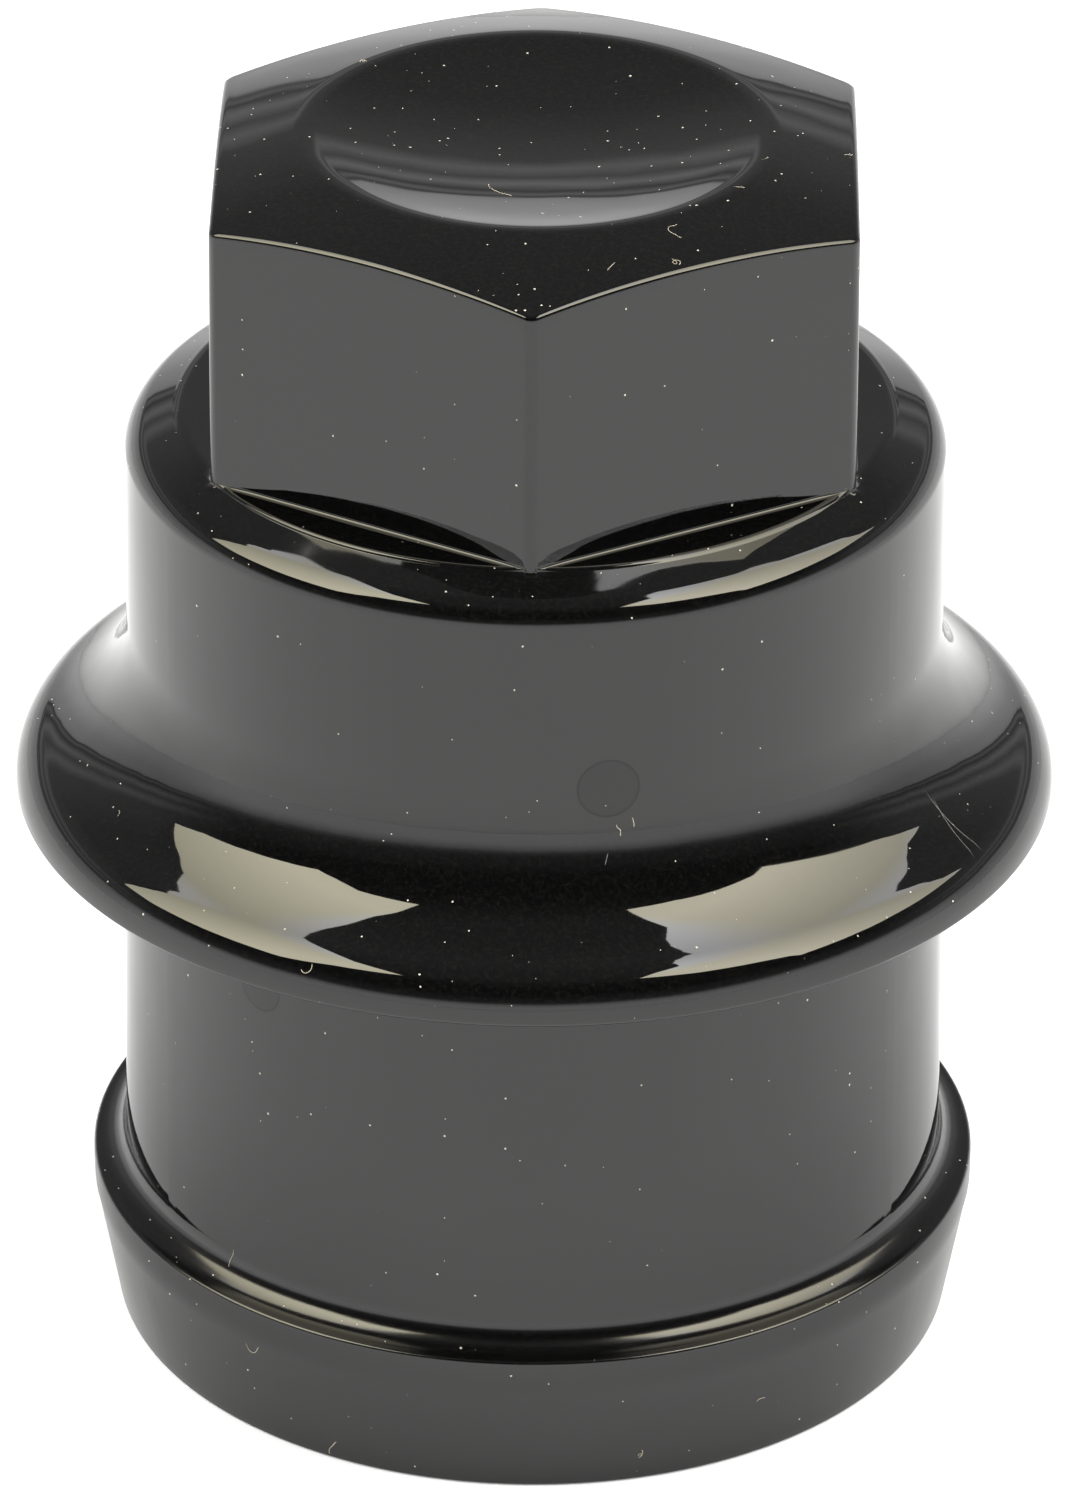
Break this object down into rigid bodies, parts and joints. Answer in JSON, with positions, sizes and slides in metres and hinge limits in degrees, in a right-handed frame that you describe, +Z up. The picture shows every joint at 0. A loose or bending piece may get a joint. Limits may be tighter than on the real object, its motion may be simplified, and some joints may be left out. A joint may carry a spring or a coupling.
{
  "type": "wheel nut cover cap",
  "caption": "Black moulded plastic wheel nut cover: hex head with dished crown, shoulder, flange, snap collar and an open threaded inside.",
  "frame": {"origin": "centre of the open mouth's rim, on the surface that the cap stands on", "axes": "+Z up the cap's axis from the mouth to the hex head; one corner of the hex points to -Y and its flats face +X and -X"},
  "size_m": [0.0368, 0.0368, 0.0454],
  "materials": {
    "black_moulded_plastic": "gloss, straight from a polished mould"
  },
  "bodies": {
    "root": {"nut_cap": "black_moulded_plastic"}
  },
  "joints": []
}
